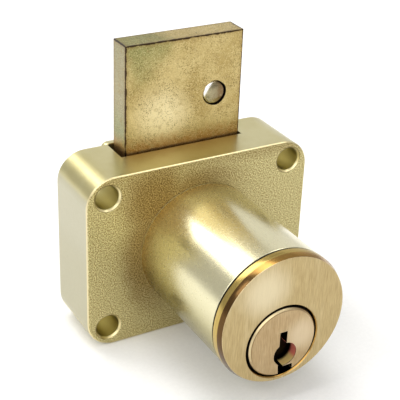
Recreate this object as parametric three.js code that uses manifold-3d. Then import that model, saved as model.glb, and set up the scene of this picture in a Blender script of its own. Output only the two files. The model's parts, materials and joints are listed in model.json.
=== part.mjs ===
// Surface-mounted pin-tumbler drawer lock with a deadbolt that is thrown upwards.
//
// Frame, in millimetres: +Z is the way the bolt is thrown, -Y is the key side and +X is to the
// right as seen from the key side. The origin is on the rear face of the back cover, on the axis
// of the barrel. The lock is drawn locked, with the bolt thrown and the pins at the shear line.
import * as THREE from 'three';
import { mergeVertices } from 'three/addons/utils/BufferGeometryUtils.js';
import Module from 'manifold-3d';

const wasm = await Module();
wasm.setup();

// ---------------------------------------------------------------- driving dimensions
// Bolt: a plate that slides in the case and stands out of its top.
const BOLT_WIDTH = 21.6;
const BOLT_THICKNESS = 4.5;
const BOLT_PROJECTION = 18.65;
const BOLT_TRAVEL = 12.0;
const BOLT_FOOT = 1.74;
const BOLT_FROM_FRONT = 6.75;
const BOLT_EDGE = 0.12;
const BOLT_SLOT_CORNER = 1.0;

// Stud: a round pin riveted through the bolt, with a crowned end on the key side.
const STUD_X = 5.6;
const STUD_BELOW_TOP = 10.35;
const STUD_RADIUS = 2.05;
const STUD_PROUD = 0.3;
const STUD_CROWN = 0.25;
const STUD_ROUNDING = 0.45;
const STUD_FACETS = 5;

// Case: a block with rounded corners, four screw holes and a hollow barrel on its front.
const CASE_SIDE = 9.05;
const CASE_DEPTH = 12.0;
const CASE_FLOOR = 1.2;
const CASE_CORNER = 4.9;
const CASE_EDGE = 0.25;
const HOLE_INSET_X = 3.75;
const HOLE_INSET_Z = 3.5;
const HOLE_RADIUS = 2.05;
const HOLE_FRONT_RADIUS = 2.45;
const HOLE_REAR_RADIUS = 2.7;
const BARREL_RADIUS = 11.1;
const BARREL_LENGTH = 23.7;
const BARREL_WALL = 0.8;
const BARREL_EDGE = 0.15;
const WEB_THICKNESS = 2.4;
const BORE_INTO_CASE = 0.4;

// Back cover: a cross-shaped plate that leaves the heads of the mounting screws free.
const COVER_THICKNESS = 1.2;
const COVER_LAP = 0.6;
const COVER_EAR_MARGIN = 3.1;
const COVER_CORNER = 1.2;
const COVER_EDGE = 0.1;
const COVER_SCREW_INSET = 5.35;
const COVER_SCREW_Z = 4.0;
const COVER_SCREW_RADIUS = 0.95;
const COVER_SCREW_HEAD_RADIUS = 1.85;
const COVER_SCREW_LENGTH = 5.5;

// Cylinder body: a flanged brass shell that fills the barrel.
const SEAM = 0.4;
const RIM_OVERHANG = 0.1;
const RIM_LENGTH = 1.2;
const FACE_TAPER = 1.0;
const FACE_INSET = 0.35;
const BORE_EDGE = 0.25;
const BODY_SCREW_INSET = 2.8;
const BODY_SCREW_ANGLE = 33;
const BODY_SCREW_RADIUS = 1.15;
const BODY_SCREW_HEAD_RADIUS = 2.1;
const BODY_SCREW_LENGTH = 7.5;

// Plug: turns in the body, below the barrel's axis and close to the edge of the face.
const PLUG_RADIUS = 5.5;
const PLUG_HEAD_STEP = 0.6;
const PLUG_HEAD_LENGTH = 1.7;
const PLUG_HEAD_BEVEL = 0.35;
const PLUG_PROUD = 0.15;
const PLUG_TO_EDGE = 0.8;
const TAIL_STEP = 1.3;
const TAIL_SQUARE = 5.0;

// Keyway: measured from the plug's centre, seen from the key side.
const KEYWAY_TOP = 1.9;
const KEYWAY_LEFT = -0.56;
const KEYWAY_RIGHT = 0.77;
const KEYWAY_WARD_TOP = -3.0;
const KEYWAY_WARD_BOTTOM = -4.5;
const KEYWAY_WARD_EDGE = 0.36;
const KEYWAY_FOOT_LEFT = -0.38;
const KEYWAY_FOOT_RIGHT = 2.1;
const KEYWAY_END_WALL = 2.3;
const KEY_RECESS_X = 0.6;
const KEY_RECESS_Z = -2.35;
const KEY_RECESS_RADIUS = 2.08;
const KEY_RECESS_DEPTH = 2.2;

// Pins: one key pin, one driver pin and one spring in each chamber.
const FIRST_PIN = 6.0;
const PIN_PITCH = 3.9;
const PIN_RADIUS = 1.35;
const PIN_EDGE = 0.2;
const KEY_PIN_TIP_RADIUS = 0.6;
const KEY_PIN_POINT = 0.75;
const KEY_PIN_LENGTHS = [4.0, 5.0, 4.4, 5.4, 4.2];
const PIN_SEAT = -1.0;
const CHAMBER_FLOOR_RADIUS = 0.72;
const CHAMBER_CONE = 0.72;
const CAP_THICKNESS = 1.0;
const CAP_HALF_WIDTH = 1.8;
const SPRING_WIRE_RADIUS = 0.16;
const SPRING_TURNS = 5;
const SPRING_ROOM = 3.6;
const SPRING_STEPS = 45;
const WIRE_FACETS = 3;

// Crank: carried by the plug's tail, its pin works in a cross slot in the bolt.
const CRANK_THICKNESS = 2.4;
const CRANK_EDGE = 0.15;
const CRANK_HUB_RADIUS = 4.6;
const CRANK_TIP_RADIUS = 2.0;
const CRANK_PIN_RADIUS = 1.2;
const CRANK_PIN_EDGE = 0.2;
const CRANK_SCREW_RADIUS = 0.95;
const CRANK_SCREW_HEAD_RADIUS = 3.5;
const CRANK_SCREW_HEAD = 0.85;
const CRANK_SCREW_LENGTH = 4.5;
const CRANK_SCREW_EDGE = 0.2;
const CRANK_SLOT_DEPTH = 0.35;
const CRANK_SLOT_WIDTH = 0.8;

// Flat-head screws of the cover and the cylinder body.
const SCREW_POINT = 0.2;
const SCREW_SLOT_DEPTH = 0.4;
const SCREW_SLOT_WIDTH = 0.5;

// Clearances.
const BOLT_GAP_LEFT = 0.9;
const BOLT_GAP_RIGHT = 0.35;
const BOLT_GAP_FRONT = 0.5;
const BOLT_GAP_FLOOR = 0.2;
const TURNING_FIT = 0.1;
const PLUG_HEAD_GAP = 0.22;
const SEATED_FIT = 0.1;
const SCREW_FIT = 0.1;
const PIN_FIT = 0.1;
const SHEAR_GAP = 0.05;
const END_GAP = 0.3;
const RUNNING_GAP = 0.2;
const CRANK_HEAD_GAP = 0.05;
const SPRING_GAP = 0.06;

// Facets on round shapes.
const COARSE = 16;
const MEDIUM = 32;
const FINE = 64;
const CORNER_FACETS = 6;

// How far a cutting shape reaches past the face it cuts, and how near two corners are one.
const PAST = 1;
const WELD = 1e-4;

// ---------------------------------------------------------------- places worked out from them
// Across the lock.
const BOLT_LEFT = -BOLT_WIDTH / 2;
const BOLT_RIGHT = BOLT_WIDTH / 2;
const BOLT_ROOM_LEFT = BOLT_LEFT - BOLT_GAP_LEFT;
const BOLT_ROOM_RIGHT = BOLT_RIGHT + BOLT_GAP_RIGHT;
const CASE_HALF_WIDTH = CASE_SIDE - BOLT_ROOM_LEFT;
const COVER_HALF_WIDTH = COVER_LAP - BOLT_ROOM_LEFT;
const COVER_SCREW_X = CASE_HALF_WIDTH - COVER_SCREW_INSET;
const COVER_EAR_REACH = COVER_SCREW_X + COVER_EAR_MARGIN;
const COVER_EAR_HALF_HEIGHT = COVER_SCREW_Z + COVER_EAR_MARGIN;

// Cylinder, plug and pins.
const BODY_RADIUS = BARREL_RADIUS - BARREL_WALL - SEATED_FIT;
const RIM_RADIUS = BARREL_RADIUS + RIM_OVERHANG;
const FACE_RADIUS = RIM_RADIUS - FACE_INSET;
const PLUG_HEAD_RADIUS = PLUG_RADIUS + PLUG_HEAD_STEP;
const TAIL_RADIUS = PLUG_RADIUS - TAIL_STEP;
const PLUG_Z = PLUG_HEAD_RADIUS + PLUG_TO_EDGE - FACE_RADIUS;
const SHEAR_Z = PLUG_Z + PLUG_RADIUS + TURNING_FIT;
const CAP_TOP = Math.sqrt(BODY_RADIUS ** 2 - CAP_HALF_WIDTH ** 2) - SEATED_FIT;
const CAP_BOTTOM = CAP_TOP - CAP_THICKNESS;
const DRIVER_BOTTOM = SHEAR_Z + SHEAR_GAP;
const DRIVER_TOP = CAP_BOTTOM - SPRING_ROOM;
const SCREW_TURN = THREE.MathUtils.degToRad(BODY_SCREW_ANGLE);
const BODY_SCREW_X = (BODY_RADIUS - BODY_SCREW_INSET) * Math.cos(SCREW_TURN);
const BODY_SCREW_Z = (BODY_RADIUS - BODY_SCREW_INSET) * Math.sin(SCREW_TURN);

// Crank and bolt. The bolt follows the plug at a steady rate while the crank's pin goes round on
// a circle, so the slot is taller than the pin by the widest difference, a fixed part of the radius.
const CIRCLE_FROM_STEADY = 0.2105;
const CRANK_RADIUS = BOLT_TRAVEL / 2;
const CRANK_PIN_Z = PLUG_Z + CRANK_RADIUS;
const STEADY_MOTION_GAP = CIRCLE_FROM_STEADY * CRANK_RADIUS;
const BOLT_SLOT_HALF_WIDTH = CRANK_RADIUS + CRANK_PIN_RADIUS + END_GAP;
const BOLT_SLOT_HALF_HEIGHT = CRANK_PIN_RADIUS + STEADY_MOTION_GAP + SCREW_FIT;
const BOLT_BOTTOM = CRANK_PIN_Z - BOLT_SLOT_HALF_HEIGHT - BOLT_FOOT;
const BOLT_ROOM_FLOOR = BOLT_BOTTOM - BOLT_TRAVEL - BOLT_GAP_FLOOR;
const CASE_BOTTOM = BOLT_ROOM_FLOOR - CASE_FLOOR;
const CASE_TOP = -CASE_BOTTOM;
const BOLT_TOP = CASE_TOP + BOLT_PROJECTION;
const STUD_Z = BOLT_TOP - STUD_BELOW_TOP;
const HOLE_X = CASE_HALF_WIDTH - HOLE_INSET_X;
const HOLE_Z = CASE_TOP - HOLE_INSET_Z;

// From the back cover forwards to the face of the cylinder.
const CASE_BACK = -COVER_THICKNESS;
const CASE_FRONT = CASE_BACK - CASE_DEPTH;
const BOLT_FRONT = CASE_FRONT + BOLT_FROM_FRONT;
const BOLT_BACK = BOLT_FRONT + BOLT_THICKNESS;
const BOLT_ROOM_FRONT = BOLT_FRONT - BOLT_GAP_FRONT;
const CRANK_PIN_END = BOLT_BACK - RUNNING_GAP;
const WEB_FRONT = CASE_FRONT + BORE_INTO_CASE;
const WEB_BACK = WEB_FRONT + WEB_THICKNESS;
const CRANK_FRONT = WEB_BACK + END_GAP;
const CRANK_BACK = CRANK_FRONT + CRANK_THICKNESS;
const BODY_REAR = WEB_FRONT - RUNNING_GAP;
const PLUG_REAR = BODY_REAR - RUNNING_GAP;
const BARREL_END = CASE_FRONT - BARREL_LENGTH;
const RIM_BACK = BARREL_END - SEAM;
const RIM_FRONT = RIM_BACK - RIM_LENGTH;
const FACE = RIM_FRONT - FACE_TAPER;
const PLUG_FACE = FACE - PLUG_PROUD;
const CHAMBER_RADIUS = PIN_RADIUS + PIN_FIT;
const SPRING_RADIUS = PIN_RADIUS - 2 * SPRING_WIRE_RADIUS;
const KEY_PIN_TOP = Math.sqrt(PLUG_RADIUS ** 2 - PIN_RADIUS ** 2) - SHEAR_GAP;
const pinY = (index) => FACE + FIRST_PIN + index * PIN_PITCH;
const CAP_FRONT = pinY(0) - PIN_PITCH / 2;
const CAP_REAR = pinY(KEY_PIN_LENGTHS.length) - PIN_PITCH / 2;

// ---------------------------------------------------------------- shapes
// A closed solid from a three.js geometry, with its faces pointing out.
function solid(geometry) {
  const bare = geometry.clone();
  bare.deleteAttribute('normal');
  bare.deleteAttribute('uv');
  const merged = mergeVertices(bare, WELD);
  const points = Float32Array.from(merged.attributes.position.array);
  const index = merged.index.array;
  const triangles = [];
  let volume = 0;
  for (let i = 0; i < index.length; i += 3) {
    const [a, b, c] = [index[i], index[i + 1], index[i + 2]];
    if (a === b || b === c || c === a) continue;
    triangles.push(a, b, c);
    const corner = [a, b, c].map((k) => new THREE.Vector3().fromArray(points, 3 * k));
    volume += corner[0].dot(corner[1].cross(corner[2]));
  }
  if (volume < 0) triangles.reverse();
  const mesh = new wasm.Mesh({
    numProp: 3, vertProperties: points, triVerts: Uint32Array.from(triangles),
  });
  return new wasm.Manifold(mesh);
}

const join = (...solids) => solids.reduce((whole, next) => whole.add(next));
const cut = (whole, ...tools) => tools.reduce((rest, tool) => rest.subtract(tool), whole);

// A turned solid about an axis along Y through (x, z). Profile: pairs of radius and y.
function turned(profile, segments, x = 0, z = 0) {
  const points = profile.map(([radius, y]) => new THREE.Vector2(radius, y));
  return solid(new THREE.LatheGeometry(points, segments).translate(x, 0, z));
}

const rod = (radius, yFrom, yTo, segments, x = 0, z = 0) =>
  turned([[0, yFrom], [radius, yFrom], [radius, yTo], [0, yTo]], segments, x, z);

// A turned solid about an upright axis through (0, y). Profile: pairs of radius and z.
function upright(profile, segments, y) {
  const points = profile.map(([radius, z]) => new THREE.Vector2(radius, z));
  return solid(new THREE.LatheGeometry(points, segments).rotateX(Math.PI / 2).translate(0, y, 0));
}

// A flat outline in X and Z, as thick as from yFrom back to yTo, with its edges broken.
function plate(outline, yFrom, yTo, edge = 0) {
  const geometry = new THREE.ExtrudeGeometry(outline, {
    depth: yTo - yFrom - 2 * edge, curveSegments: CORNER_FACETS, bevelEnabled: edge > 0,
    bevelThickness: edge, bevelSize: edge, bevelOffset: -edge, bevelSegments: 1,
  });
  return solid(geometry.rotateX(Math.PI / 2).translate(0, yTo - edge, 0));
}

function block(xFrom, xTo, yFrom, yTo, zFrom, zTo) {
  const geometry = new THREE.BoxGeometry(xTo - xFrom, yTo - yFrom, zTo - zFrom);
  return solid(geometry.translate((xFrom + xTo) / 2, (yFrom + yTo) / 2, (zFrom + zTo) / 2));
}

function roundedOutline(halfWidth, zFrom, zTo, radius) {
  const outline = new THREE.Shape();
  outline.absarc(halfWidth - radius, zTo - radius, radius, 0, Math.PI / 2);
  outline.absarc(-halfWidth + radius, zTo - radius, radius, Math.PI / 2, Math.PI);
  outline.absarc(-halfWidth + radius, zFrom + radius, radius, Math.PI, 1.5 * Math.PI);
  outline.absarc(halfWidth - radius, zFrom + radius, radius, 1.5 * Math.PI, 2 * Math.PI);
  return outline;
}

const fourCorners = (x, z) => [[-x, z], [x, z], [-x, -z], [x, -z]];

// ---------------------------------------------------------------- case
// A mounting hole: a small chamfer at the front and a countersink for the screw head behind.
function mountingHole(x, z) {
  const chamfer = HOLE_FRONT_RADIUS - HOLE_RADIUS;
  const sink = HOLE_REAR_RADIUS - HOLE_RADIUS;
  return turned([
    [0, CASE_FRONT - PAST], [HOLE_FRONT_RADIUS, CASE_FRONT - PAST], [HOLE_FRONT_RADIUS, CASE_FRONT],
    [HOLE_RADIUS, CASE_FRONT + chamfer], [HOLE_RADIUS, CASE_BACK - sink],
    [HOLE_REAR_RADIUS, CASE_BACK], [HOLE_REAR_RADIUS, CASE_BACK + PAST], [0, CASE_BACK + PAST],
  ], MEDIUM, x, z);
}

// The seat of a flat-head screw that goes in from the back, with its head flush with rear and
// room to reach it from as far back as open.
function screwSeat(shankRadius, headRadius, rear, length, open, x, z) {
  const shank = shankRadius + SCREW_FIT;
  const head = headRadius + SCREW_FIT;
  return turned([
    [0, rear - length - END_GAP], [shank, rear - length - END_GAP], [shank, rear - (head - shank)],
    [head, rear], [head, open], [0, open],
  ], COARSE, x, z);
}

const coverScrewSeats = () => fourCorners(COVER_SCREW_X, COVER_SCREW_Z).map(([x, z]) => screwSeat(
  COVER_SCREW_RADIUS, COVER_SCREW_HEAD_RADIUS, 0, COVER_SCREW_LENGTH, PAST, x, z,
));

const bodyScrewSeats = () => [-BODY_SCREW_X, BODY_SCREW_X].map((x) => screwSeat(
  BODY_SCREW_RADIUS, BODY_SCREW_HEAD_RADIUS, WEB_BACK, BODY_SCREW_LENGTH, BOLT_FRONT, x, BODY_SCREW_Z,
));

function makeCase() {
  const outline = roundedOutline(CASE_HALF_WIDTH, CASE_BOTTOM, CASE_TOP, CASE_CORNER);
  const barrel = turned([
    [0, BARREL_END], [BARREL_RADIUS - BARREL_EDGE, BARREL_END],
    [BARREL_RADIUS, BARREL_END + BARREL_EDGE], [BARREL_RADIUS, WEB_FRONT], [0, WEB_FRONT],
  ], FINE);
  const whole = join(plate(outline, CASE_FRONT, CASE_BACK, CASE_EDGE), barrel);
  const bodyBore = rod(BARREL_RADIUS - BARREL_WALL, BARREL_END - PAST, WEB_FRONT, FINE);
  const tailHole = rod(
    TAIL_RADIUS + RUNNING_GAP, WEB_FRONT - PAST, WEB_BACK + PAST, MEDIUM, 0, PLUG_Z,
  );
  const crankRoom = rod(
    CRANK_RADIUS + CRANK_TIP_RADIUS + END_GAP, WEB_BACK, BOLT_FRONT, MEDIUM, 0, PLUG_Z,
  );
  const boltRoom = block(
    BOLT_ROOM_LEFT, BOLT_ROOM_RIGHT, BOLT_ROOM_FRONT, CASE_BACK + PAST,
    BOLT_ROOM_FLOOR, CASE_TOP + PAST,
  );
  const holes = fourCorners(HOLE_X, HOLE_Z).map(([x, z]) => mountingHole(x, z));
  return cut(
    whole, bodyBore, tailHole, crankRoom, boltRoom, ...holes, ...bodyScrewSeats(), ...coverScrewSeats(),
  );
}

// ---------------------------------------------------------------- back cover and its screws
function coverOutline() {
  const [w, e, h, r] = [COVER_HALF_WIDTH, COVER_EAR_REACH, COVER_EAR_HALF_HEIGHT, COVER_CORNER];
  const outline = new THREE.Shape();
  outline.absarc(w - r, CASE_TOP - r, r, 0, Math.PI / 2);
  outline.absarc(-w + r, CASE_TOP - r, r, Math.PI / 2, Math.PI);
  outline.lineTo(-w, h);
  outline.absarc(-e + r, h - r, r, Math.PI / 2, Math.PI);
  outline.absarc(-e + r, -h + r, r, Math.PI, 1.5 * Math.PI);
  outline.lineTo(-w, -h);
  outline.absarc(-w + r, CASE_BOTTOM + r, r, Math.PI, 1.5 * Math.PI);
  outline.absarc(w - r, CASE_BOTTOM + r, r, 1.5 * Math.PI, 2 * Math.PI);
  outline.lineTo(w, -h);
  outline.absarc(e - r, -h + r, r, 1.5 * Math.PI, 2 * Math.PI);
  outline.absarc(e - r, h - r, r, 0, Math.PI / 2);
  outline.lineTo(w, h);
  return outline;
}

const makeBackCover = () => cut(plate(coverOutline(), CASE_BACK, 0, COVER_EDGE), ...coverScrewSeats());

// A flat-head screw with its head flush with rear, and a driver slot across it.
function flatHeadScrew(shankRadius, headRadius, rear, length, x, z) {
  const body = turned([
    [0, rear - length], [shankRadius - SCREW_POINT, rear - length],
    [shankRadius, rear - length + SCREW_POINT],
    [shankRadius, rear - (headRadius - shankRadius)], [headRadius, rear], [0, rear],
  ], COARSE, x, z);
  const reach = headRadius + PAST;
  const half = SCREW_SLOT_WIDTH / 2;
  return cut(body, block(
    x - reach, x + reach, rear - SCREW_SLOT_DEPTH, rear + PAST, z - half, z + half,
  ));
}

const makeCoverScrew = (x, z) => flatHeadScrew(
  COVER_SCREW_RADIUS, COVER_SCREW_HEAD_RADIUS, 0, COVER_SCREW_LENGTH, x, z,
);

// ---------------------------------------------------------------- cylinder body and its screws
function makeCylinderBody() {
  const shell = turned([
    [0, FACE], [FACE_RADIUS, FACE], [RIM_RADIUS, RIM_FRONT], [RIM_RADIUS, RIM_BACK],
    [BODY_RADIUS, RIM_BACK], [BODY_RADIUS, BODY_REAR], [0, BODY_REAR],
  ], FINE);
  const headRadius = PLUG_HEAD_RADIUS + PLUG_HEAD_GAP;
  const plugBore = turned([
    [0, FACE - PAST], [headRadius + BORE_EDGE + PAST, FACE - PAST], [headRadius, FACE + BORE_EDGE],
    [headRadius, FACE + PLUG_HEAD_LENGTH + TURNING_FIT],
    [PLUG_RADIUS + TURNING_FIT, FACE + PLUG_HEAD_LENGTH + TURNING_FIT],
    [PLUG_RADIUS + TURNING_FIT, BODY_REAR + PAST], [0, BODY_REAR + PAST],
  ], FINE, 0, PLUG_Z);
  const chambers = KEY_PIN_LENGTHS.map((_, i) => upright(
    [[0, PLUG_Z], [CHAMBER_RADIUS, PLUG_Z], [CHAMBER_RADIUS, BARREL_RADIUS], [0, BARREL_RADIUS]],
    COARSE, pinY(i),
  ));
  const capSeat = block(
    -CAP_HALF_WIDTH - SEATED_FIT, CAP_HALF_WIDTH + SEATED_FIT,
    CAP_FRONT - SEATED_FIT, CAP_REAR + SEATED_FIT, CAP_BOTTOM, BARREL_RADIUS,
  );
  return cut(shell, plugBore, ...chambers, capSeat, ...bodyScrewSeats());
}

const makeChamberCap = () => block(
  -CAP_HALF_WIDTH, CAP_HALF_WIDTH, CAP_FRONT, CAP_REAR, CAP_BOTTOM, CAP_TOP,
);

const makeBodyScrew = (x) => flatHeadScrew(
  BODY_SCREW_RADIUS, BODY_SCREW_HEAD_RADIUS, WEB_BACK, BODY_SCREW_LENGTH, x, BODY_SCREW_Z,
);

// ---------------------------------------------------------------- plug and pins
function keywayOutline() {
  const outline = new THREE.Shape();
  outline.moveTo(KEYWAY_LEFT, KEYWAY_TOP);
  outline.lineTo(KEYWAY_LEFT, KEYWAY_WARD_BOTTOM);
  outline.lineTo(KEYWAY_FOOT_LEFT, -PLUG_HEAD_RADIUS - PAST);
  outline.lineTo(KEYWAY_FOOT_RIGHT, -PLUG_HEAD_RADIUS - PAST);
  outline.lineTo(KEYWAY_FOOT_RIGHT, KEYWAY_WARD_BOTTOM);
  outline.lineTo(KEYWAY_WARD_EDGE, KEYWAY_WARD_BOTTOM);
  outline.lineTo(KEYWAY_WARD_EDGE, KEYWAY_WARD_TOP);
  outline.lineTo(KEYWAY_RIGHT, KEYWAY_WARD_TOP);
  outline.lineTo(KEYWAY_RIGHT, KEYWAY_TOP);
  return outline;
}

// The plug and all that turns with it are drawn about the plug's own axis, then lowered to it.
function makePlug() {
  const body = turned([
    [0, PLUG_FACE], [PLUG_HEAD_RADIUS - PLUG_HEAD_BEVEL, PLUG_FACE],
    [PLUG_HEAD_RADIUS, PLUG_FACE + PLUG_HEAD_BEVEL],
    [PLUG_HEAD_RADIUS, FACE + PLUG_HEAD_LENGTH], [PLUG_RADIUS, FACE + PLUG_HEAD_LENGTH],
    [PLUG_RADIUS, PLUG_REAR], [TAIL_RADIUS, PLUG_REAR], [TAIL_RADIUS, CRANK_FRONT - TURNING_FIT],
    [0, CRANK_FRONT - TURNING_FIT],
  ], FINE);
  const half = TAIL_SQUARE / 2;
  const square = block(-half, half, PLUG_REAR, CRANK_BACK - TURNING_FIT, -half, half);
  const keyway = plate(keywayOutline(), PLUG_FACE - PAST, PLUG_REAR - KEYWAY_END_WALL);
  const recess = rod(
    KEY_RECESS_RADIUS, PLUG_FACE - PAST, PLUG_FACE + KEY_RECESS_DEPTH, MEDIUM,
    KEY_RECESS_X, KEY_RECESS_Z,
  );
  const chambers = KEY_PIN_LENGTHS.map((_, i) => upright([
    [0, PIN_SEAT - CHAMBER_CONE], [CHAMBER_FLOOR_RADIUS, PIN_SEAT - CHAMBER_CONE],
    [CHAMBER_RADIUS, PIN_SEAT], [CHAMBER_RADIUS, PLUG_RADIUS + PAST], [0, PLUG_RADIUS + PAST],
  ], COARSE, pinY(i)));
  const screwHole = rod(
    CRANK_SCREW_RADIUS + SCREW_FIT, CRANK_BACK - CRANK_SCREW_LENGTH - END_GAP,
    CRANK_BACK + PAST, COARSE,
  );
  return cut(join(body, square), keyway, recess, ...chambers, screwHole);
}

// A key pin: flat on top and pointed below, where it rides on the key.
function makeKeyPin(index) {
  const top = KEY_PIN_TOP;
  const bottom = top - KEY_PIN_LENGTHS[index];
  return upright([
    [0, bottom], [KEY_PIN_TIP_RADIUS, bottom], [PIN_RADIUS, bottom + KEY_PIN_POINT],
    [PIN_RADIUS, top - PIN_EDGE], [PIN_RADIUS - PIN_EDGE, top], [0, top],
  ], COARSE, pinY(index));
}

const makeDriverPin = (index) => upright([
  [0, DRIVER_BOTTOM], [PIN_RADIUS - PIN_EDGE, DRIVER_BOTTOM], [PIN_RADIUS, DRIVER_BOTTOM + PIN_EDGE],
  [PIN_RADIUS, DRIVER_TOP - PIN_EDGE], [PIN_RADIUS - PIN_EDGE, DRIVER_TOP], [0, DRIVER_TOP],
], COARSE, pinY(index));

// The centre line of a compression spring that stands upright between two heights.
class Helix extends THREE.Curve {
  constructor(radius, zFrom, zTo, turns, y) {
    super();
    Object.assign(this, { radius, zFrom, zTo, turns, y });
  }

  getPoint(t, target = new THREE.Vector3()) {
    const angle = 2 * Math.PI * this.turns * t;
    const height = this.zFrom + (this.zTo - this.zFrom) * t;
    return target.set(this.radius * Math.cos(angle), this.y + this.radius * Math.sin(angle), height);
  }
}

function makePinSpring(index) {
  const clear = SPRING_WIRE_RADIUS + SPRING_GAP;
  const line = new Helix(
    SPRING_RADIUS, DRIVER_TOP + clear, CAP_BOTTOM - clear, SPRING_TURNS, pinY(index),
  );
  const section = new THREE.Shape().absarc(0, 0, SPRING_WIRE_RADIUS, 0, 2 * Math.PI);
  return solid(new THREE.ExtrudeGeometry(section, {
    extrudePath: line, steps: SPRING_STEPS, curveSegments: WIRE_FACETS, bevelEnabled: false,
  }));
}

// ---------------------------------------------------------------- crank
// A pear-shaped plate: a hub round the tail and a tip round the pin, joined by straight sides.
function crankOutline() {
  const lean = Math.acos((CRANK_HUB_RADIUS - CRANK_TIP_RADIUS) / CRANK_RADIUS);
  const up = Math.PI / 2;
  const outline = new THREE.Shape();
  outline.absarc(0, 0, CRANK_HUB_RADIUS, up + lean, up - lean + 2 * Math.PI);
  outline.absarc(0, CRANK_RADIUS, CRANK_TIP_RADIUS, up - lean, up + lean);
  return outline;
}

function makeCrank() {
  const half = TAIL_SQUARE / 2 + SEATED_FIT;
  const squareHole = block(-half, half, CRANK_FRONT - PAST, CRANK_BACK + PAST, -half, half);
  const pinHole = rod(
    CRANK_PIN_RADIUS + SEATED_FIT, CRANK_FRONT - PAST, CRANK_BACK + PAST, COARSE, 0, CRANK_RADIUS,
  );
  return cut(plate(crankOutline(), CRANK_FRONT, CRANK_BACK, CRANK_EDGE), squareHole, pinHole);
}

const makeCrankPin = () => turned([
  [0, CRANK_FRONT], [CRANK_PIN_RADIUS, CRANK_FRONT],
  [CRANK_PIN_RADIUS, CRANK_PIN_END - CRANK_PIN_EDGE],
  [CRANK_PIN_RADIUS - CRANK_PIN_EDGE, CRANK_PIN_END], [0, CRANK_PIN_END],
], COARSE, 0, CRANK_RADIUS);

function makeCrankScrew() {
  const seat = CRANK_BACK + CRANK_HEAD_GAP;
  const rear = seat + CRANK_SCREW_HEAD;
  const body = turned([
    [0, CRANK_BACK - CRANK_SCREW_LENGTH], [CRANK_SCREW_RADIUS, CRANK_BACK - CRANK_SCREW_LENGTH],
    [CRANK_SCREW_RADIUS, seat], [CRANK_SCREW_HEAD_RADIUS, seat],
    [CRANK_SCREW_HEAD_RADIUS, rear - CRANK_SCREW_EDGE],
    [CRANK_SCREW_HEAD_RADIUS - CRANK_SCREW_EDGE, rear], [0, rear],
  ], MEDIUM);
  const reach = CRANK_SCREW_HEAD_RADIUS + PAST;
  const half = CRANK_SLOT_WIDTH / 2;
  return cut(body, block(-reach, reach, rear - CRANK_SLOT_DEPTH, rear + PAST, -half, half));
}

// ---------------------------------------------------------------- bolt
function makeBolt() {
  const outline = new THREE.Shape();
  outline.moveTo(BOLT_LEFT, BOLT_BOTTOM);
  outline.lineTo(BOLT_RIGHT, BOLT_BOTTOM);
  outline.lineTo(BOLT_RIGHT, BOLT_TOP);
  outline.lineTo(BOLT_LEFT, BOLT_TOP);
  const slot = roundedOutline(
    BOLT_SLOT_HALF_WIDTH, CRANK_PIN_Z - BOLT_SLOT_HALF_HEIGHT, CRANK_PIN_Z + BOLT_SLOT_HALF_HEIGHT,
    BOLT_SLOT_CORNER,
  );
  const studHole = rod(
    STUD_RADIUS + SEATED_FIT, BOLT_FRONT - PAST, BOLT_BACK + PAST, MEDIUM, STUD_X, STUD_Z,
  );
  return cut(
    plate(outline, BOLT_FRONT, BOLT_BACK, BOLT_EDGE),
    plate(slot, BOLT_FRONT - PAST, BOLT_BACK + PAST), studHole,
  );
}

// Its end is a shallow crown that rolls over into the side; its rear end is flat.
function makeStud() {
  const flat = STUD_RADIUS - STUD_ROUNDING;
  const front = BOLT_FRONT - STUD_PROUD;
  const profile = [[0, front]];
  for (let i = 1; i <= STUD_FACETS; i += 1) {
    const share = i / STUD_FACETS;
    profile.push([flat * share, front + STUD_CROWN * share ** 2]);
  }
  for (let i = 1; i <= STUD_FACETS; i += 1) {
    const angle = Math.PI / 2 * i / STUD_FACETS;
    profile.push([
      flat + STUD_ROUNDING * Math.sin(angle),
      front + STUD_CROWN + STUD_ROUNDING * (1 - Math.cos(angle)),
    ]);
  }
  profile.push([STUD_RADIUS, BOLT_BACK], [0, BOLT_BACK]);
  return turned(profile, MEDIUM, STUD_X, STUD_Z);
}

// ---------------------------------------------------------------- assembly
const PLATED_BRASS = { color: 0xc2b782, roughness: 0.35, metalness: 1.0 };
const SOLID_BRASS = { color: 0xc3ab74, roughness: 0.4, metalness: 1.0 };
const CHROMATE = { color: 0xbfa968, roughness: 0.5, metalness: 0.9 };
const STEEL = { color: 0xa9abad, roughness: 0.35, metalness: 1.0 };
const SPRING_STEEL = { color: 0x8f9194, roughness: 0.3, metalness: 1.0 };

function node(name, shape, look) {
  const { vertProperties, triVerts } = shape.getMesh();
  const geometry = new THREE.BufferGeometry();
  geometry.setAttribute('position', new THREE.Float32BufferAttribute(vertProperties, 3));
  geometry.setIndex(new THREE.Uint32BufferAttribute(triVerts, 1));
  geometry.computeVertexNormals();
  const mesh = new THREE.Mesh(geometry, new THREE.MeshStandardMaterial(look));
  mesh.name = name;
  return mesh;
}

const lock = new THREE.Group();
const turning = new THREE.Group();
turning.position.z = PLUG_Z;
lock.add(turning);

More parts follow.
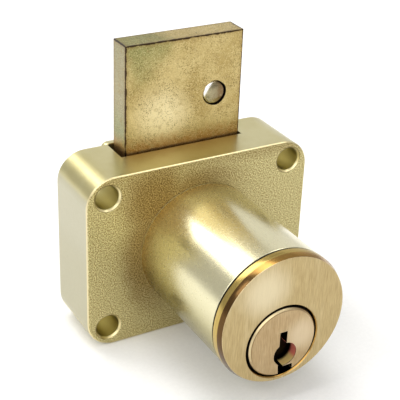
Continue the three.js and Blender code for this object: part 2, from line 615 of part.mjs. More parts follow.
lock.add(node('case', makeCase(), PLATED_BRASS));
lock.add(node('back_cover', makeBackCover(), PLATED_BRASS));
fourCorners(COVER_SCREW_X, COVER_SCREW_Z).forEach(([x, z], i) => {
  lock.add(node(`cover_screw_${i + 1}`, makeCoverScrew(x, z), STEEL));
});
lock.add(node('cylinder_body', makeCylinderBody(), SOLID_BRASS));
lock.add(node('chamber_cap', makeChamberCap(), SOLID_BRASS));
[-BODY_SCREW_X, BODY_SCREW_X].forEach((x, i) => {
  lock.add(node(`cylinder_screw_${i + 1}`, makeBodyScrew(x), STEEL));
});
turning.add(node('plug', makePlug(), SOLID_BRASS));
turning.add(node('crank', makeCrank(), STEEL));
turning.add(node('crank_pin', makeCrankPin(), STEEL));
turning.add(node('crank_screw', makeCrankScrew(), STEEL));
KEY_PIN_LENGTHS.forEach((_, i) => {
  turning.add(node(`key_pin_${i + 1}`, makeKeyPin(i), SOLID_BRASS));
  lock.add(node(`driver_pin_${i + 1}`, makeDriverPin(i), STEEL));
  lock.add(node(`pin_spring_${i + 1}`, makePinSpring(i), SPRING_STEEL));
});
lock.add(node('bolt', makeBolt(), CHROMATE));
lock.add(node('bolt_stud', makeStud(), CHROMATE));

export default lock;
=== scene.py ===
# A drawer lock with its deadbolt thrown, on a pale floor. Metres, in the frame of the CAD model.
import json
import math

import bpy
from mathutils import Matrix, Vector


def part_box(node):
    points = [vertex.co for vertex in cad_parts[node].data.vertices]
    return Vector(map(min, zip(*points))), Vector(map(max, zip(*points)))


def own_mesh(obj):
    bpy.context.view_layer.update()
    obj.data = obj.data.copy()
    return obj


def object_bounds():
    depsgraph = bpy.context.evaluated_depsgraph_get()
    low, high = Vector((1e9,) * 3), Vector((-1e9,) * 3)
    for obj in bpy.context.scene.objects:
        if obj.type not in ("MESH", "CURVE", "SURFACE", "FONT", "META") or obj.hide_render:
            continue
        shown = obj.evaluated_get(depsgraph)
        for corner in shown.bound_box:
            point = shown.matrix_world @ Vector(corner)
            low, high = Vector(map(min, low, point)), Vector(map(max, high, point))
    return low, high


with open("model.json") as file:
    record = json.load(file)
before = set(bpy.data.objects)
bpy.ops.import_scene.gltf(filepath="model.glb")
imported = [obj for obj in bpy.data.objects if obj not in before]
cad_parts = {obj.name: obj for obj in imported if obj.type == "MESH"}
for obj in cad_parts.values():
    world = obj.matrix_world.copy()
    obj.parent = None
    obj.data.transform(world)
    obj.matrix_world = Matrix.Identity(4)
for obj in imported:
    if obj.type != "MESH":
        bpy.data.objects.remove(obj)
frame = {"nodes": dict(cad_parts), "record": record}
cad_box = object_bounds()

MM = 0.001
nodes = frame["nodes"]
case_low, case_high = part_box("case")
bolt_low, bolt_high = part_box("bolt")
head_low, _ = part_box("cylinder_body")
plug_low, plug_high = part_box("plug")
stud_low, stud_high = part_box("bolt_stud")
mounts = {mount["name"]: mount for mount in frame["record"]["mounts"]}

# Where each finish begins and ends, from the CAD boxes.
CASE_FRONT_Y = mounts["drawer_face"]["pos_m"][1]
BARREL_END_Y = case_low.y
BARREL_AXIS = Vector((0.0, 0.0, 0.0))
FACE_Y = head_low.y
RIM_FRONT_Y = FACE_Y + 1.0 * MM
RIM_BACK_Y = FACE_Y + 2.2 * MM
PLUG_FACE_Y = plug_low.y
PLUG_HEAD_RADIUS = (plug_high.x - plug_low.x) / 2
PLUG_CENTRE = Vector((0.0, 0.0, (plug_low.z + plug_high.z) / 2))
RECESS_CENTRE = PLUG_CENTRE + Vector((0.6, 0.0, -2.35)) * MM
RECESS_RADIUS = 2.08 * MM
STUD_CENTRE = (stud_low + stud_high) / 2
STUD_RADIUS = (stud_high.x - stud_low.x) / 2
BOLT_SHOWN_WIDTH = bolt_high.x - bolt_low.x
BOLT_SHOWN_HEIGHT = bolt_high.z - case_high.z

# Centres of painted brown shade and of painted highlights.
CASE_SHADE_CENTRE = Vector((-8.5, 0.0, 10.5)) * MM
FACE_HIGHLIGHT_CENTRE = Vector((-3.6, 0.0, 6.0)) * MM
PLUG_HIGHLIGHT_CENTRE = PLUG_CENTRE + Vector((3.4, 0.0, 0.6)) * MM
BOLT_GREEN = Vector((bolt_low.x + 0.12 * BOLT_SHOWN_WIDTH, 0.0, bolt_high.z - 0.02 * BOLT_SHOWN_HEIGHT))
BOLT_HIGHLIGHT_CENTRE = Vector((bolt_low.x + 0.30 * BOLT_SHOWN_WIDTH, 0.0, case_high.z + 0.28 * BOLT_SHOWN_HEIGHT))

# Near-black painted shade, used in gaps, seams, recesses and the keyway.
PAINTED_SHADE = (0.012, 0.009, 0.006)

# Mesh finish of the CAD nodes.
WELD_REACH = 0.001 * MM
FLAT_ANGLE = math.radians(0.4)
SMOOTH_ANGLE = math.radians(32)
BROKEN_EDGE_ANGLE = math.radians(35)
BROKEN_EDGE_STEPS = 2
FACE_AREA_WEIGHT = 50

# Camera and floor.
CAMERA_PLACE = Vector((-81.16, -151.94, 92.11)) * MM
CAMERA_AZIMUTH = math.radians(30.26)
CAMERA_ELEVATION = math.radians(27.58)
CAMERA_ROLL = math.radians(2.26)
CAMERA_LENS = 98.0
FLOOR_GAP = 0.05 * MM
FLOOR_REACH = 1.6
FLOOR_HALF_WIDTH = 2.5
FLOOR_BEND = 0.5
FLOOR_BEND_STEPS = 16
FLOOR_WALL = 1.5


# ---------------------------------------------------------------- node building
class Nodes:
    """A material's node tree, with short calls for the nodes it uses."""

    def __init__(self, name):
        self.material = bpy.data.materials.new(name)
        self.material.use_nodes = True
        self.tree = self.material.node_tree
        self.tree.nodes.clear()
        output = self.add("ShaderNodeOutputMaterial")
        self.shader = self.add("ShaderNodeBsdfPrincipled")
        self.link(self.shader.outputs[0], output.inputs["Surface"])
        self.place = self.add("ShaderNodeTexCoord").outputs["Object"]

    def add(self, kind, **settings):
        node = self.tree.nodes.new(kind)
        for key, value in settings.items():
            setattr(node, key, value)
        return node

    def link(self, source, target):
        self.tree.links.new(source, target)

    def feed(self, socket, value):
        """Sets a socket to a constant, or links it to another node's output."""
        if isinstance(value, bpy.types.NodeSocket):
            self.link(value, socket)
        else:
            socket.default_value = value

    def stretched(self, scale):
        mapping = self.add("ShaderNodeMapping")
        self.link(self.place, mapping.inputs["Vector"])
        mapping.inputs["Scale"].default_value = scale
        return mapping.outputs[0]

    def noise(self, size, detail=3.0, roughness=0.55, stretch=None, seed=0.0):
        """Noise with features of about that size, in metres."""
        node = self.add("ShaderNodeTexNoise", noise_dimensions="4D")
        self.link(self.stretched(stretch) if stretch else self.place, node.inputs["Vector"])
        node.inputs["W"].default_value = seed
        node.inputs["Scale"].default_value = 1.0 / size
        node.inputs["Detail"].default_value = detail
        node.inputs["Roughness"].default_value = roughness
        return node.outputs["Fac"]

    def ramp(self, value, low, high, start=0.0, end=1.0):
        """value from low..high, clamped and spread over start..end, smoothly."""
        node = self.add("ShaderNodeMapRange", interpolation_type="SMOOTHSTEP")
        self.feed(node.inputs["Value"], value)
        node.inputs["From Min"].default_value = low
        node.inputs["From Max"].default_value = high
        node.inputs["To Min"].default_value = start
        node.inputs["To Max"].default_value = end
        return node.outputs["Result"]

    def math(self, operation, a, b=0.0):
        node = self.add("ShaderNodeMath", operation=operation)
        self.feed(node.inputs[0], a)
        self.feed(node.inputs[1], b)
        return node.outputs[0]

    def plus(self, a, b):
        return self.math("ADD", a, b)

    def minus(self, a, b):
        return self.math("SUBTRACT", a, b)

    def times(self, a, b):
        return self.math("MULTIPLY", a, b)

    def larger(self, a, b):
        return self.math("MAXIMUM", a, b)

    def smaller(self, a, b):
        return self.math("MINIMUM", a, b)

    def strayed(self, value, noise, reach):
        """value pushed up and down by a noise, to that reach, so that its bounds aren't straight."""
        return self.plus(value, self.ramp(noise, 0.3, 0.7, -reach, reach))

    def band(self, value, low, high, soft):
        """1 where value is between low and high, fading over soft at each end."""
        return self.times(self.ramp(value, low, low + soft), self.ramp(value, high, high - soft))

    def axes(self):
        node = self.add("ShaderNodeSeparateXYZ")
        self.link(self.place, node.inputs[0])
        return node.outputs

    def distance(self, point):
        """Distance of the surface from a line along Y through the point."""
        x, _, z = self.axes()
        across, up = self.minus(x, point.x), self.minus(z, point.z)
        return self.math("SQRT", self.plus(self.times(across, across), self.times(up, up)))

    def lean(self, point, across, up):
        """How far the surface lies from the point to the right and upwards, each at its weight."""
        x, _, z = self.axes()
        return self.plus(self.times(self.minus(x, point.x), across), self.times(self.minus(z, point.z), up))

    def mix(self, factor, a, b):
        node = self.add("ShaderNodeMix", data_type="RGBA")
        self.feed(node.inputs["Factor"], factor)
        self.feed(node.inputs["A"], (*a, 1.0) if isinstance(a, tuple) else a)
        self.feed(node.inputs["B"], (*b, 1.0) if isinstance(b, tuple) else b)
        return node.outputs["Result"]

    def box_edge(self, low, high):
        """How far the surface of a box is from the nearest of its edges, its foot left out."""
        x, y, z = self.axes()
        dx = self.smaller(self.minus(x, low.x), self.minus(high.x, x))
        dy = self.smaller(self.minus(y, low.y), self.minus(high.y, y))
        dz = self.minus(high.z, z)
        return self.larger(self.smaller(dx, dy), self.smaller(self.larger(dx, dy), dz))

    def edges(self, width):
        """1 on edges, 0 on faces: how far a rounded normal leans from the true one."""
        rounded = self.add("ShaderNodeBevel", samples=6)
        rounded.inputs["Radius"].default_value = width
        true = self.add("ShaderNodeNewGeometry").outputs["Normal"]
        dot = self.add("ShaderNodeVectorMath", operation="DOT_PRODUCT")
        self.link(rounded.outputs[0], dot.inputs[0])
        self.link(true, dot.inputs[1])
        return self.ramp(dot.outputs["Value"], 0.98, 0.80)

    def bump(self, height, depth, strength=1.0, over=None):
        """A normal from a height of 0..1 that stands for a depth in metres."""
        node = self.add("ShaderNodeBump")
        node.inputs["Strength"].default_value = strength
        node.inputs["Distance"].default_value = depth
        self.link(height, node.inputs["Height"])
        if over:
            self.link(over, node.inputs["Normal"])
        return node.outputs["Normal"]

    def finish(self, color, roughness, normal=None, metallic=1.0, coat=0.0):
        self.feed(self.shader.inputs["Base Color"], color)
        self.feed(self.shader.inputs["Roughness"], roughness)
        self.feed(self.shader.inputs["Metallic"], metallic)
        self.feed(self.shader.inputs["Coat Weight"], coat)
        self.shader.inputs["Coat Roughness"].default_value = 0.25
        if normal:
            self.link(normal, self.shader.inputs["Normal"])
        return self.material


# ---------------------------------------------------------------- materials
def plated_casting():
    """Pale greenish brass plating: blasted on the front, satin elsewhere, with painted brown shade round
    the barrel root, painted shade under the barrel and at its end, a painted amber reflection at its root
    and a painted highlight on the front edge.
    """
    n = Nodes("plated_casting")
    x, y, z = n.axes()
    clouds = n.noise(9 * MM, 3.0, 0.6)
    grain = n.noise(0.20 * MM, 2.0, 0.7)
    fine = n.noise(0.5 * MM, 3.0, 0.6, seed=2.0)
    front = n.ramp(n.math("ABSOLUTE", n.minus(y, CASE_FRONT_Y)), 0.12 * MM, 0.05 * MM)
    barrel = n.ramp(y, CASE_FRONT_Y - 0.1 * MM, CASE_FRONT_Y - 0.4 * MM)

    # Painted brown shade on the front round the barrel root, strongest at its upper left, with a painted
    # shade patch above and left of it and a little towards the top edge.
    near_barrel = n.ramp(n.strayed(n.distance(BARREL_AXIS), clouds, 1 * MM), 17 * MM, 11.5 * MM)
    brown_shade = n.times(near_barrel, n.ramp(n.lean(BARREL_AXIS, -1.0, 0.6), -6 * MM, 9 * MM, 0.10, 0.80))
    stain_and_shade = n.ramp(n.strayed(n.distance(CASE_SHADE_CENTRE), clouds, 1 * MM), 9.5 * MM, 2.5 * MM, 0.0, 0.95)
    brown_shade = n.larger(brown_shade, stain_and_shade)
    brown_shade = n.larger(brown_shade, n.ramp(z, case_high.z - 3.0 * MM, case_high.z - 0.6 * MM, 0.0, 0.4))
    blasted = n.mix(n.ramp(grain, 0.38, 0.62), (0.26, 0.185, 0.05), (0.78, 0.71, 0.38))
    shaded_grain = n.mix(n.ramp(grain, 0.40, 0.60), (0.10, 0.055, 0.02), (0.42, 0.30, 0.10))
    blasted = n.mix(brown_shade, blasted, shaded_grain)

    smooth = n.mix(n.ramp(clouds, 0.3, 0.7), (0.60, 0.53, 0.25), (0.67, 0.61, 0.33))
    side = n.ramp(n.math("ABSOLUTE", x), case_high.x - 0.5 * MM, case_high.x - 0.1 * MM)
    smooth = n.mix(side, smooth, (0.46, 0.43, 0.29))
    smooth = n.mix(n.times(barrel, 0.8), smooth, (0.84, 0.79, 0.54))
    # Painted shade on the barrel's underside.
    shaded_underside = n.times(barrel, n.ramp(z, 5.0 * MM, -4.0 * MM, 0.0, 0.95))
    smooth = n.mix(shaded_underside, smooth, (0.33, 0.29, 0.12))
    # Painted reflection: an amber tint on the barrel near its root.
    root_reflection = n.times(barrel, n.ramp(y, CASE_FRONT_Y - 3.0 * MM, CASE_FRONT_Y - 0.4 * MM, 0.0, 0.4))
    smooth = n.mix(root_reflection, smooth, (0.62, 0.40, 0.12))

    color = n.mix(front, smooth, blasted)
    # Painted highlight along the front edge.
    front_edge_highlight = n.ramp(y, CASE_FRONT_Y + 0.04 * MM, CASE_FRONT_Y + 0.10 * MM)
    front_edge_highlight = n.times(front_edge_highlight, n.ramp(y, CASE_FRONT_Y + 0.34 * MM, CASE_FRONT_Y + 0.26 * MM))
    color = n.mix(n.times(front_edge_highlight, 0.55), color, (1.0, 0.84, 0.47))
    # Painted shade on the barrel's end face, in the seam against the cylinder head.
    color = n.mix(n.ramp(y, BARREL_END_Y + 0.12 * MM, BARREL_END_Y + 0.04 * MM), color, PAINTED_SHADE)

    roughness = n.plus(n.ramp(front, 0.0, 1.0, 0.33, 0.46), n.times(barrel, -0.08))
    roughness = n.plus(roughness, n.ramp(fine, 0.3, 0.7, -0.02, 0.03))
    satin = n.bump(fine, 0.0006 * MM, 0.5)
    rings = n.noise(0.09 * MM, 2.0, 0.6, stretch=(0.02, 1.0, 0.02), seed=6.0)
    turned = n.bump(n.times(rings, barrel), 0.003 * MM, 1.0, over=satin)
    normal = n.bump(n.times(grain, front), 0.10 * MM, 1.0, over=turned)
    lacquer = n.times(n.ramp(z, -1.0 * MM, 5.0 * MM, 0.05, 0.35), n.minus(1.0, front))
    return n.finish(color, roughness, normal, coat=lacquer)


def chromate():
    """Yellow passivated steel: mottled gold, a green corner, a brown foot and fine specks, with a painted
    highlight patch on the front, painted shade on the left side and a painted shade crescent round the
    stud.
    """
    n = Nodes("chromate")
    x, _, z = n.axes()
    clouds = n.noise(7 * MM, 4.0, 0.6, seed=1.0)
    mottle = n.noise(0.9 * MM, 3.0, 0.65, seed=7.0)
    specks = n.noise(0.20 * MM, 2.0, 0.6, seed=3.0)
    worn = n.noise(3.0 * MM, 3.0, 0.6, seed=12.0)

    color = n.mix(n.ramp(clouds, 0.32, 0.68), (0.46, 0.34, 0.125), (0.60, 0.475, 0.21))
    green = n.ramp(n.strayed(n.distance(BOLT_GREEN), clouds, 2 * MM), 8.5 * MM, 1.5 * MM, 0.0, 0.85)
    color = n.mix(green, color, (0.25, 0.255, 0.09))
    # Painted highlight: a pale patch low on the bolt's front, left of centre.
    painted_highlight = n.ramp(n.distance(BOLT_HIGHLIGHT_CENTRE), 7.5 * MM, 1.0 * MM, 0.0, 0.85)
    color = n.mix(painted_highlight, color, (0.92, 0.80, 0.48))

    # Painted shade on the bolt's left side face: darker and greyer, greener low down.
    side = n.ramp(x, bolt_low.x + 0.12 * MM, bolt_low.x + 0.02 * MM)
    low = n.ramp(z, case_high.z + 0.5 * BOLT_SHOWN_HEIGHT, case_high.z + 0.15 * BOLT_SHOWN_HEIGHT)
    color = n.mix(n.times(side, 0.85), color, n.mix(low, (0.33, 0.30, 0.19), (0.24, 0.27, 0.14)))
    foot = n.strayed(z, mottle, 0.6 * MM)
    foot = n.ramp(foot, case_high.z + 3.4 * MM, case_high.z + 0.1 * MM, 0.0, 0.75)
    foot = n.times(foot, n.ramp(z, case_high.z - 4.0 * MM, case_high.z - 1.0 * MM))
    color = n.mix(foot, color, (0.40, 0.185, 0.05))

    color = n.mix(n.ramp(mottle, 0.52, 0.70, 0.0, 0.5), color, (0.40, 0.295, 0.12))
    crowded = n.larger(n.ramp(worn, 0.40, 0.60, 0.25, 0.85), green)
    color = n.mix(n.times(n.ramp(specks, 0.54, 0.64), crowded), color, (0.17, 0.13, 0.045))
    color = n.mix(n.ramp(specks, 0.46, 0.36, 0.0, 0.35), color, (0.84, 0.74, 0.42))

    # Painted shade: a dark crescent round the stud, widest at its lower right.
    lower_right = n.lean(STUD_CENTRE, 0.9, -0.45)
    stud_shade_width = n.ramp(lower_right, 0.0, 1.9 * MM, 0.08 * MM, 0.30 * MM)
    past_stud_shade = n.minus(n.distance(STUD_CENTRE), stud_shade_width)
    stud_shade = n.ramp(past_stud_shade, STUD_RADIUS + 0.02 * MM, STUD_RADIUS - 0.06 * MM)
    color = n.mix(stud_shade, color, n.mix(n.ramp(lower_right, -0.6 * MM, 0.8 * MM), (0.16, 0.10, 0.04), PAINTED_SHADE))

    edge = n.box_edge(bolt_low, bolt_high)
    border = n.ramp(n.strayed(edge, mottle, 0.25 * MM), 0.8 * MM, 0.2 * MM, 0.0, 0.45)
    color = n.mix(border, color, (0.27, 0.17, 0.055))
    line = n.plus(edge, n.ramp(mottle, 0.35, 0.65, -0.10 * MM, 0.08 * MM))
    color = n.mix(n.ramp(line, 0.26 * MM, 0.14 * MM, 0.0, 0.95), color, (0.035, 0.02, 0.012))

    roughness = n.ramp(mottle, 0.3, 0.7, 0.34, 0.5)
    normal = n.bump(specks, 0.012 * MM, 0.9, over=n.bump(mottle, 0.02 * MM, 0.6))
    return n.finish(color, roughness, normal)


def riveted_stud():
    """The stud's ends: greyer than the bolt, with painted shade on the right, a painted highlight at the
    upper left and painted shade on the side down in the hole.
    """
    n = Nodes("riveted_stud")
    x, y, _ = n.axes()
    mottle = n.noise(0.8 * MM, 3.0, 0.65, seed=7.0)
    # Painted shade on the right of the stud's end.
    right = n.ramp(n.strayed(x, mottle, 0.4 * MM), STUD_CENTRE.x - 1.0 * MM, STUD_CENTRE.x + 1.3 * MM)
    color = n.mix(right, (0.34, 0.30, 0.18), (0.20, 0.13, 0.06))
    color = n.mix(n.ramp(mottle, 0.5, 0.7, 0.0, 0.3), color, (0.55, 0.48, 0.30))
    # Painted highlight near the stud's upper left edge.
    upper_left = n.ramp(n.lean(STUD_CENTRE, 0.9, -0.6), -1.2 * MM, -1.7 * MM)
    crown = n.ramp(n.distance(STUD_CENTRE), STUD_RADIUS - 0.80 * MM, STUD_RADIUS - 0.50 * MM)
    color = n.mix(n.times(upper_left, crown), color, (1.0, 0.98, 0.92))
    # Painted shade on the stud's side down in its hole.
    in_hole = n.times(n.ramp(y, bolt_low.y + 0.27 * MM, bolt_low.y + 0.36 * MM),
                      n.ramp(y, stud_high.y - 0.04 * MM, stud_high.y - 0.10 * MM))
    color = n.mix(in_hole, color, PAINTED_SHADE)
    return n.finish(color, n.ramp(mottle, 0.3, 0.7, 0.18, 0.30), n.bump(mottle, 0.02 * MM, 0.7))


def turned_brass():
    """The cylinder's brass: brushed upright on its face, turned and golden on its rim, with painted
    highlights on the face and edges and painted shade on the rim's taper, round the plug and behind the
    rim.
    """
    n = Nodes("turned_brass")
    x, y, _ = n.axes()
    strokes = n.noise(0.09 * MM, 3.0, 0.65, stretch=(1.0, 1.0, 0.035))
    broad = n.noise(0.9 * MM, 2.0, 0.5, stretch=(1.0, 1.0, 0.12), seed=5.0)
    rings = n.noise(0.10 * MM, 3.0, 0.6, stretch=(0.03, 1.0, 0.03), seed=2.0)
    face = n.ramp(y, FACE_Y + 0.10 * MM, FACE_Y + 0.03 * MM)

    brushed = n.mix(n.ramp(strokes, 0.32, 0.68), (0.38, 0.28, 0.125), (0.55, 0.43, 0.22))
    brushed = n.mix(n.ramp(broad, 0.45, 0.75, 0.0, 0.35), brushed, (0.66, 0.55, 0.33))
    # Painted highlight at the face's upper left.
    painted_highlight = n.ramp(n.distance(FACE_HIGHLIGHT_CENTRE), 6.0 * MM, 1.0 * MM, 0.0, 0.7)
    brushed = n.mix(painted_highlight, brushed, (0.76, 0.67, 0.46))

    rim = n.mix(n.ramp(rings, 0.3, 0.7), (0.42, 0.29, 0.075), (0.58, 0.43, 0.14))
    # Painted shade on the rim's taper, darkest on its left.
    taper = n.ramp(y, RIM_FRONT_Y + 0.05 * MM, RIM_FRONT_Y - 0.05 * MM)
    rim = n.mix(n.times(taper, 0.8), rim, (0.38, 0.20, 0.05))
    left_taper_shade = n.times(taper, n.ramp(x, -3.5 * MM, -7.0 * MM, 0.0, 0.9))
    rim = n.mix(left_taper_shade, rim, (0.085, 0.045, 0.018))

    color = n.mix(face, rim, brushed)
    # Painted highlight on the edges.
    color = n.mix(n.times(n.edges(0.16 * MM), 0.55), color, (0.95, 0.82, 0.55))
    # Painted shade in the bore round the plug and in the seam behind the rim, near the front only.
    bore = n.ramp(n.distance(PLUG_CENTRE), PLUG_HEAD_RADIUS + 0.28 * MM, PLUG_HEAD_RADIUS + 0.23 * MM)
    behind_rim = n.ramp(y, RIM_BACK_Y - 0.10 * MM, RIM_BACK_Y - 0.02 * MM)
    shallow = n.ramp(y, RIM_BACK_Y + 1.4 * MM, RIM_BACK_Y + 0.8 * MM)
    color = n.mix(n.times(n.larger(bore, behind_rim), shallow), color, PAINTED_SHADE)

    roughness = n.plus(n.ramp(face, 0.0, 1.0, 0.22, 0.40), n.ramp(broad, 0.3, 0.7, -0.03, 0.04))
    streaks = n.plus(n.times(strokes, face), n.times(rings, 0.35))
    return n.finish(color, roughness, n.bump(streaks, 0.012 * MM, 0.9))


def plug_brass():
    """The plug: the same brushed brass, a little pinker, with painted highlights, painted shade in its
    keyway and gap, and red on its key recess wall with a painted lit gold patch low down.
    """
    n = Nodes("plug_brass")
    _, y, z = n.axes()
    strokes = n.noise(0.12 * MM, 3.0, 0.6, stretch=(1.0, 1.0, 0.06), seed=9.0)
    clouds = n.noise(3.0 * MM, 3.0, 0.5, seed=3.0)
    centre = n.distance(PLUG_CENTRE)

    color = n.mix(n.ramp(strokes, 0.32, 0.68), (0.37, 0.255, 0.125), (0.50, 0.365, 0.20))
    color = n.mix(n.ramp(clouds, 0.4, 0.7, 0.0, 0.4), color, (0.56, 0.44, 0.26))
    # Painted highlight on the plug's right.
    painted_highlight = n.ramp(n.distance(PLUG_HIGHLIGHT_CENTRE), 4.0 * MM, 0.8 * MM, 0.0, 0.75)
    color = n.mix(painted_highlight, color, (0.66, 0.54, 0.36))

    # Painted highlight on the edges and on the bevel at the upper left, with a painted dark shade line
    # inside it.
    color = n.mix(n.times(n.edges(0.10 * MM), 0.5), color, (0.97, 0.84, 0.62))
    upper_left = n.ramp(n.lean(PLUG_CENTRE, -1.0, 1.0), 1.5 * MM, 6.0 * MM)
    bevel = n.ramp(centre, PLUG_HEAD_RADIUS - 0.40 * MM, PLUG_HEAD_RADIUS - 0.34 * MM)
    color = n.mix(n.times(n.times(bevel, upper_left), 0.35), color, (0.85, 0.74, 0.45))
    line = n.band(centre, PLUG_HEAD_RADIUS - 0.55 * MM, PLUG_HEAD_RADIUS - 0.34 * MM, 0.08 * MM)
    color = n.mix(n.times(n.times(line, upper_left), 0.8), color, (0.14, 0.09, 0.035))

    # Painted shade in the keyway and on the plug's side in its gap, near the front only.
    inside = n.ramp(y, PLUG_FACE_Y + 0.03 * MM, PLUG_FACE_Y + 0.20 * MM)
    keyway = n.ramp(centre, PLUG_HEAD_RADIUS - 0.45 * MM, PLUG_HEAD_RADIUS - 0.5 * MM)
    side = n.ramp(centre, PLUG_HEAD_RADIUS - 0.15 * MM, PLUG_HEAD_RADIUS - 0.08 * MM)
    shallow = n.ramp(y, PLUG_FACE_Y + 4.0 * MM, PLUG_FACE_Y + 2.5 * MM)
    color = n.mix(n.times(n.times(inside, shallow), n.larger(keyway, side)), color, PAINTED_SHADE)

    # Red on the key recess wall, with a painted lit gold patch on its lower part; less metallic there.
    recess = n.distance(RECESS_CENTRE)
    wall = n.band(recess, RECESS_RADIUS - 0.10 * MM, RECESS_RADIUS + 0.10 * MM, 0.07 * MM)
    wall = n.times(wall, n.times(inside, n.ramp(y, PLUG_FACE_Y + 1.9 * MM, PLUG_FACE_Y + 1.2 * MM)))
    red_and_lit_gold = n.mix(n.ramp(z, RECESS_CENTRE.z - 0.7 * MM, RECESS_CENTRE.z - 1.5 * MM),
                   (0.62, 0.17, 0.12), (0.66, 0.50, 0.18))
    color = n.mix(wall, color, red_and_lit_gold)
    metallic = n.minus(1.0, n.times(wall, 0.9))
    return n.finish(color, n.ramp(clouds, 0.3, 0.7, 0.30, 0.38), n.bump(strokes, 0.010 * MM, 0.8), metallic)


def plain_brass():
    """Machined brass for the pins and the cap over their chambers."""
    n = Nodes("plain_brass")
    rings = n.noise(0.12 * MM, 3.0, 0.6, stretch=(0.05, 0.05, 1.0))
    stain_and_shade = n.noise(1.5 * MM, 3.0, 0.6, seed=5.0)
    color = n.mix(n.ramp(rings, 0.3, 0.7), (0.62, 0.46, 0.20), (0.80, 0.63, 0.33))
    color = n.mix(n.ramp(stain_and_shade, 0.5, 0.75, 0.0, 0.5), color, (0.45, 0.30, 0.12))
    return n.finish(color, n.ramp(stain_and_shade, 0.3, 0.7, 0.25, 0.4), n.bump(rings, 0.006 * MM, 0.8))


def plain_steel(name, low, high, roughness):
    """Turned or drawn steel, with fine rings round it, light staining and a painted highlight on its edges.
    """
    n = Nodes(name)
    rings = n.noise(0.10 * MM, 3.0, 0.6, stretch=(0.2, 1.0, 0.2))
    stain_and_shade = n.noise(1.2 * MM, 4.0, 0.6, seed=8.0)
    color = n.mix(n.ramp(rings, 0.3, 0.7), low, high)
    color = n.mix(n.ramp(stain_and_shade, 0.55, 0.8, 0.0, 0.5), color, (0.30, 0.26, 0.20))
    # Painted highlight on the edges.
    color = n.mix(n.times(n.edges(0.08 * MM), 0.4), color, (0.88, 0.88, 0.87))
    roughness = n.ramp(stain_and_shade, 0.3, 0.7, roughness, roughness + 0.14)
    return n.finish(color, roughness, n.bump(rings, 0.006 * MM, 0.8))


# ---------------------------------------------------------------- surfaces of the CAD nodes
def smoothing_group():
    """A modifier's nodes that shade faces smooth and keep corners over SMOOTH_ANGLE sharp."""
    group = bpy.data.node_groups.new("smooth_by_angle", "GeometryNodeTree")
    group.interface.new_socket("Geometry", in_out="INPUT", socket_type="NodeSocketGeometry")
    group.interface.new_socket("Geometry", in_out="OUTPUT", socket_type="NodeSocketGeometry")
    entry = group.nodes.new("NodeGroupInput")
    leave = group.nodes.new("NodeGroupOutput")
    faces = group.nodes.new("GeometryNodeSetShadeSmooth")
    faces.domain = "FACE"
    corners = group.nodes.new("GeometryNodeSetShadeSmooth")
    corners.domain = "EDGE"
    corners.inputs["Shade Smooth"].default_value = False
    angle = group.nodes.new("GeometryNodeInputMeshEdgeAngle")
    over = group.nodes.new("FunctionNodeCompare")
    over.data_type = "FLOAT"
    over.operation = "GREATER_THAN"
    over.inputs["B"].default_value = SMOOTH_ANGLE
    group.links.new(entry.outputs[0], faces.inputs["Geometry"])
    group.links.new(faces.outputs[0], corners.inputs["Geometry"])
    group.links.new(angle.outputs["Unsigned Angle"], over.inputs["A"])
    group.links.new(over.outputs["Result"], corners.inputs["Selection"])
    group.links.new(corners.outputs[0], leave.inputs[0])
    return group


SMOOTHING = smoothing_group()


def dress(name, material, edge=0.0):
    """Gives a CAD node its material, broken edges of that width and smooth shading."""
    node = nodes[name]
    for place in node.material_slots:
        place.material = material
    weld = node.modifiers.new("weld", "WELD")
    weld.merge_threshold = WELD_REACH
    flat = node.modifiers.new("merge_flats", "DECIMATE")
    flat.decimate_type = "DISSOLVE"
    flat.angle_limit = FLAT_ANGLE
    if edge:
        bevel = node.modifiers.new("edges", "BEVEL")
        bevel.width = edge
        bevel.segments = BROKEN_EDGE_STEPS
        bevel.limit_method = "ANGLE"
        bevel.angle_limit = BROKEN_EDGE_ANGLE
    smooth = node.modifiers.new("smooth", "NODES")
    smooth.node_group = SMOOTHING
    normals = node.modifiers.new("normals", "WEIGHTED_NORMAL")
    normals.keep_sharp = True
    normals.weight = FACE_AREA_WEIGHT


def dress_all():
    """Every CAD node gets its material; the wire and the stud keep their own round edges."""
    brass = plain_brass()
    steel = plain_steel("turned_steel", (0.50, 0.51, 0.52), (0.66, 0.67, 0.68), 0.26)
    wire = plain_steel("spring_wire", (0.36, 0.37, 0.38), (0.52, 0.53, 0.54), 0.22)
    casting = plated_casting()
    dress("case", casting, 0.05 * MM)
    dress("back_cover", casting, 0.05 * MM)
    dress("cylinder_body", turned_brass(), 0.04 * MM)
    dress("plug", plug_brass(), 0.04 * MM)
    dress("bolt", chromate(), 0.04 * MM)
    dress("bolt_stud", riveted_stud())
    dress("chamber_cap", brass, 0.05 * MM)
    for name in nodes:
        if name.startswith("key_pin"):
            dress(name, brass, 0.03 * MM)
        elif name.startswith("pin_spring"):
            dress(name, wire)
        elif name.startswith(("driver_pin", "cover_screw", "cylinder_screw", "crank")):
            dress(name, steel, 0.03 * MM)


def squash_springs():
    """Gives each spring beside a lifting driver pin its own copy of its mesh."""
    for joint in frame["record"]["behaviour"]["joints"]:
        if not joint["name"].endswith("_lift"):
            continue
        name = joint["name"].replace("driver_pin", "pin_spring").replace("_lift", "")
        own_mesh(nodes[name])


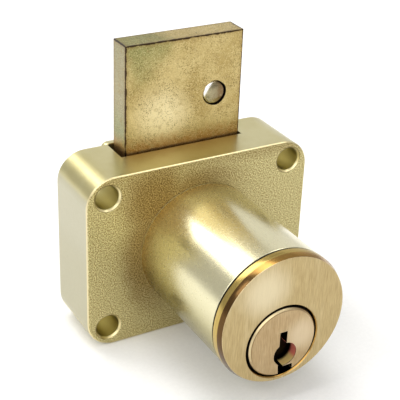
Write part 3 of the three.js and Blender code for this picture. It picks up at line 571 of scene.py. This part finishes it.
# ---------------------------------------------------------------- camera, floor and light
def make_camera():
    """A long lens in front of the lock, to its left and above it."""
    ahead = Vector((math.sin(CAMERA_AZIMUTH) * math.cos(CAMERA_ELEVATION),
                    math.cos(CAMERA_AZIMUTH) * math.cos(CAMERA_ELEVATION), -math.sin(CAMERA_ELEVATION)))
    right = Vector((math.cos(CAMERA_AZIMUTH), -math.sin(CAMERA_AZIMUTH), 0.0))
    up = right.cross(ahead)
    x = right * math.cos(CAMERA_ROLL) + up * math.sin(CAMERA_ROLL)
    y = up * math.cos(CAMERA_ROLL) - right * math.sin(CAMERA_ROLL)
    data = bpy.data.cameras.new("camera")
    data.sensor_width = 36.0
    data.lens = CAMERA_LENS
    data.clip_start = 0.01
    data.clip_end = 10.0
    camera = bpy.data.objects.new("camera", data)
    turn = Matrix((x, y, -ahead)).transposed().to_4x4()
    camera.matrix_world = Matrix.Translation(CAMERA_PLACE) @ turn
    bpy.context.collection.objects.link(camera)
    bpy.context.scene.camera = camera


def make_floor():
    """A pale sheet under the lock that curves up far behind it."""
    level = cad_box[0].z - FLOOR_GAP
    bend_y = FLOOR_REACH - FLOOR_BEND
    profile = [(-FLOOR_REACH, level), (bend_y, level)]
    for i in range(1, FLOOR_BEND_STEPS + 1):
        angle = math.pi / 2 * i / FLOOR_BEND_STEPS
        profile.append((bend_y + FLOOR_BEND * math.sin(angle), level + FLOOR_BEND * (1 - math.cos(angle))))
    profile.append((FLOOR_REACH, level + FLOOR_WALL))
    points = [(side * FLOOR_HALF_WIDTH, y, z) for y, z in profile for side in (-1, 1)]
    faces = [(2 * i, 2 * i + 1, 2 * i + 3, 2 * i + 2) for i in range(len(profile) - 1)]
    mesh = bpy.data.meshes.new("floor")
    mesh.from_pydata(points, [], faces)
    for polygon in mesh.polygons:
        polygon.use_smooth = True
    floor = bpy.data.objects.new("floor", mesh)
    bpy.context.collection.objects.link(floor)
    n = Nodes("pale_paper")
    fibres = n.noise(0.6 * MM, 3.0, 0.6)
    color = n.mix(n.ramp(fibres, 0.3, 0.7), (0.86, 0.86, 0.86), (0.89, 0.89, 0.89))
    mesh.materials.append(n.finish(color, 0.9, n.bump(fibres, 0.01 * MM, 0.3), metallic=0.0))


def add_softbox(name, place, target, width, height, power):
    """A rectangular soft light, in metres and watts, turned towards the target."""
    data = bpy.data.lights.new(name, "AREA")
    data.shape = "RECTANGLE"
    data.size, data.size_y = width, height
    data.energy = power
    light = bpy.data.objects.new(name, data)
    light.location = place
    light.rotation_euler = (target - Vector(place)).to_track_quat("-Z", "Y").to_euler()
    bpy.context.collection.objects.link(light)


def make_light():
    """Plain studio light: a pale surround and five soft boxes."""
    centre = (cad_box[0] + cad_box[1]) / 2
    world = bpy.data.worlds.new("studio")
    world.use_nodes = True
    background = world.node_tree.nodes["Background"]
    background.inputs["Color"].default_value = (1.0, 0.99, 0.97, 1.0)
    background.inputs["Strength"].default_value = 0.56
    bpy.context.scene.world = world
    bpy.context.scene.view_settings.view_transform = "Standard"
    add_softbox("overhead", (-0.12, 0.25, 0.65), centre, 0.34, 1.00, 3.9)
    add_softbox("front", (-0.25, -0.65, 0.42), centre, 0.90, 0.60, 3.0)
    add_softbox("back", (0.50, 0.65, 0.30), centre, 0.70, 0.60, 0.45)
    add_softbox("key", (-0.60, 0.02, 0.55), centre, 0.34, 0.34, 1.6)
    add_softbox("edge", (0.42, -0.44, 0.72), centre, 0.30, 0.30, 0.7)


make_camera()
make_floor()
make_light()
dress_all()
squash_springs()
